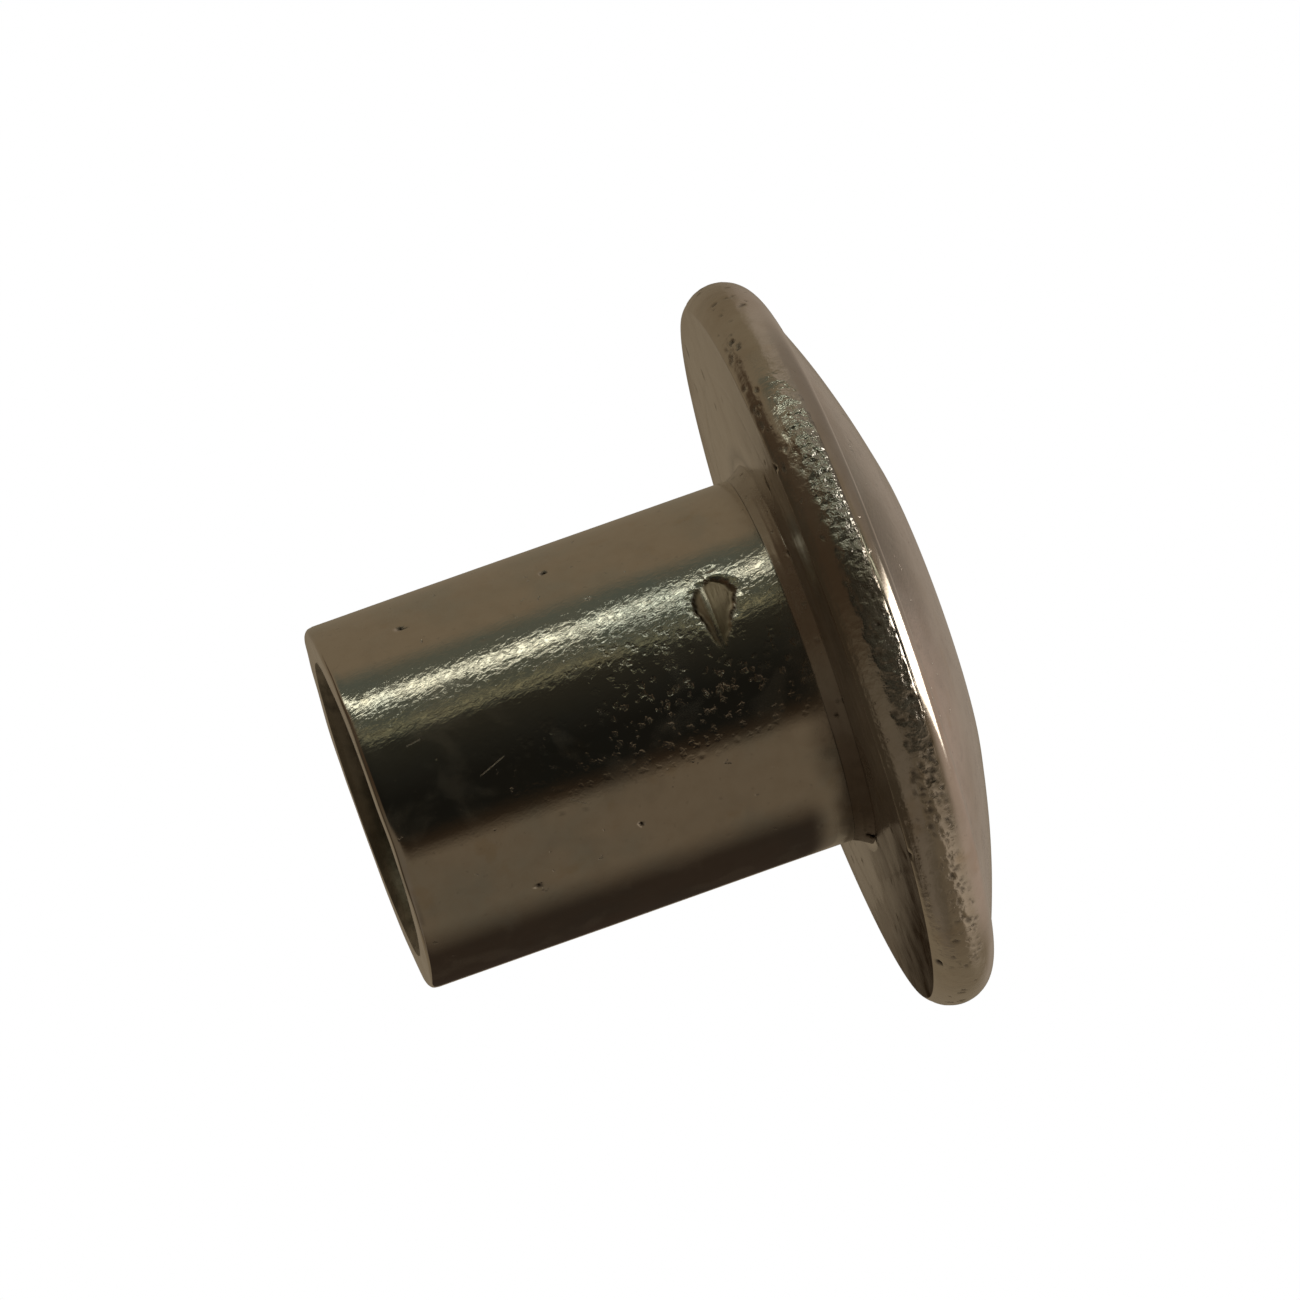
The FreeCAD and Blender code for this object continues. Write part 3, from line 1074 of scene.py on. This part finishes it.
def room_colour(tree):
    """The room's colour in every direction: soft areas, each laid over the ones before it."""
    way = tree.add("ShaderNodeTexCoord").outputs["Generated"]
    parts = tree.add("ShaderNodeSeparateXYZ", {"Vector": way}).outputs
    x, y, z = parts["X"], parts["Y"], parts["Z"]
    height = tree.total(tree.product(z, 0.5), 0.5)

    turn = tree.math("ARCTAN2", z, tree.product(y, -1.0))
    slanted = tree.total(turn, tree.product(x, WINDOW_SLANT))
    position = tree.total(tree.product(slanted, 1 / (2 * math.pi)), 0.5)
    colour = tree.ramp(position, [(degrees / 360 + 0.5, shade) for degrees, shade in ROOM_ROUND_BARREL])

    leftward = tree.total(x, tree.remap(z, -0.2, -0.5, 0.0, -0.22))
    left = part_of_room(tree, (leftward, -0.25, -0.55), (y, 0.65, 0.35))
    colour = tree.mix(left, colour, tree.ramp(height, by_height(ROOM_LEFT)))
    left_end = part_of_room(
        tree, (x, -0.35, -0.6), (y, -0.3, 0.0), (y, 0.65, 0.35), (z, 0.55, 0.4), (z, -0.7, -0.5)
    )
    colour = tree.mix(left_end, colour, LEFT_END)
    back_right = part_of_room(tree, (x, 0.08, 0.35), (y, -0.2, 0.3), (z, -0.5, -0.2))
    colour = tree.mix(back_right, colour, BACK_RIGHT)
    right = part_of_room(tree, (x, 0.4, 0.65), (y, -0.2, 0.3))
    colour = tree.mix(right, colour, tree.ramp(height, by_height(ROOM_RIGHT)))
    bench = part_of_room(tree, (x, 0.15, 0.36), (z, -0.5, -0.95))
    colour = tree.mix(bench, colour, BRIGHT_BENCH)

    side = tree.product(tree.math("ARCTAN2", y, x), 180 / math.pi)
    side_light = part_of_room(tree, (side, -10, -6), (side, 28, 24), (z, -0.25, -0.2), (z, 0.11, 0.05))
    return tree.mix(side_light, colour, SIDE_LIGHT)


def light_room():
    """The soft, dim room that the metal mirrors. To the camera the background is plain white."""
    world = bpy.data.worlds.new("soft_room")
    bpy.context.scene.world = world
    tree = Tree(world)
    seen = tree.add("ShaderNodeLightPath").outputs["Is Camera Ray"]
    colour = tree.mix(seen, room_colour(tree), WHITE)
    background = tree.add("ShaderNodeBackground", {"Color": colour, "Strength": 1.0}).outputs[0]
    tree.add("ShaderNodeOutputWorld", {"Surface": background})


def glowing(name, colour_of):
    """A material that shines with the colour that colour_of(tree) gives."""
    material = bpy.data.materials.new(name)
    tree = Tree(material)
    glow = tree.add("ShaderNodeEmission", {"Color": colour_of(tree), "Strength": 1.0}).outputs[0]
    tree.add("ShaderNodeOutputMaterial", {"Surface": glow})
    return material


def flat_card(name, corners, material):
    """A flat stage piece from its corners in mm, which sheds no light of its own on the metal."""
    mesh = bpy.data.meshes.new(name)
    points = [tuple(value * MM for value in corner) for corner in corners]
    mesh.from_pydata(points, [], [list(range(len(corners)))])
    mesh.materials.append(material)
    card = bpy.data.objects.new(name, mesh)
    bpy.context.scene.collection.objects.link(card)
    card.visible_diffuse = False
    return card


def pale_floor():
    """A plain pale disc under the flange's rim. The metal doesn't mirror it: the room has its bench."""
    reach = 300
    corners = 96
    rim = []
    for k in range(corners):
        turn = 2 * math.pi * k / corners
        rim.append((reach * math.cos(turn), reach * math.sin(turn), flange_low.z))
    floor = flat_card("floor", rim, glowing("pale_floor", lambda tree: WHITE))
    floor.visible_glossy = False


def dark_bench():
    """What the barrel's underside mirrors: a bench top in its shadow. Only reflections see it."""
    drop = 2.5
    near_y = -7.5
    far_y = 12.0
    dim_depth = 4.5
    end_x = free_end_x - drop
    root_x = shoulder_x - 0.4
    fade = 1.4
    z = barrel_low.z - drop

    def shade(tree):
        place = tree.add("ShaderNodeSeparateXYZ", {"Vector": tree.in_mm()}).outputs
        near = (place["Y"], near_y, near_y + dim_depth)
        root = (place["X"], root_x, root_x - fade)
        return tree.mix(part_of_room(tree, near, root), TAN_BENCH, SHADOW)

    corners = [(end_x, near_y, z), (root_x, near_y, z), (root_x, far_y, z), (end_x, far_y, z)]
    bench = flat_card("dark_bench", corners, glowing("bench_in_shadow", shade))
    bench.visible_camera = False
    bench.visible_shadow = False


VIEW_AZIMUTH = math.radians(-5.1)
VIEW_ELEVATION = math.radians(-0.5)
VIEW_ROLL = math.radians(19.5)
VIEW_WIDTH = 64.9 * MM  # what the picture's width spans at the fitting
LENS = 312  # mm on a 36 mm sensor: a long lens, nearly without perspective
SENSOR = 36
LOOK_AT = Vector((-7.27, 0, 2.81)) * MM


def long_lens_camera():
    """Side-on, with the barrel's open end turned slightly to the camera and the head raised."""
    data = bpy.data.cameras.new("camera")
    data.lens = LENS
    data.sensor_width = SENSOR
    data.clip_start = 0.01
    data.clip_end = 10
    camera = bpy.data.objects.new("camera", data)
    bpy.context.scene.collection.objects.link(camera)
    bpy.context.scene.camera = camera
    back = Vector((
        math.sin(VIEW_AZIMUTH) * math.cos(VIEW_ELEVATION),
        -math.cos(VIEW_AZIMUTH) * math.cos(VIEW_ELEVATION),
        math.sin(VIEW_ELEVATION),
    ))
    distance = VIEW_WIDTH * LENS / SENSOR
    level = (-back).to_track_quat("-Z", "Y").to_matrix().to_4x4()
    place = Matrix.Translation(LOOK_AT + back * distance)
    camera.matrix_world = place @ level @ Matrix.Rotation(-VIEW_ROLL, 4, "Z")


light_room()
pale_floor()
dark_bench()
long_lens_camera()
bpy.context.scene.view_settings.view_transform = "Standard"
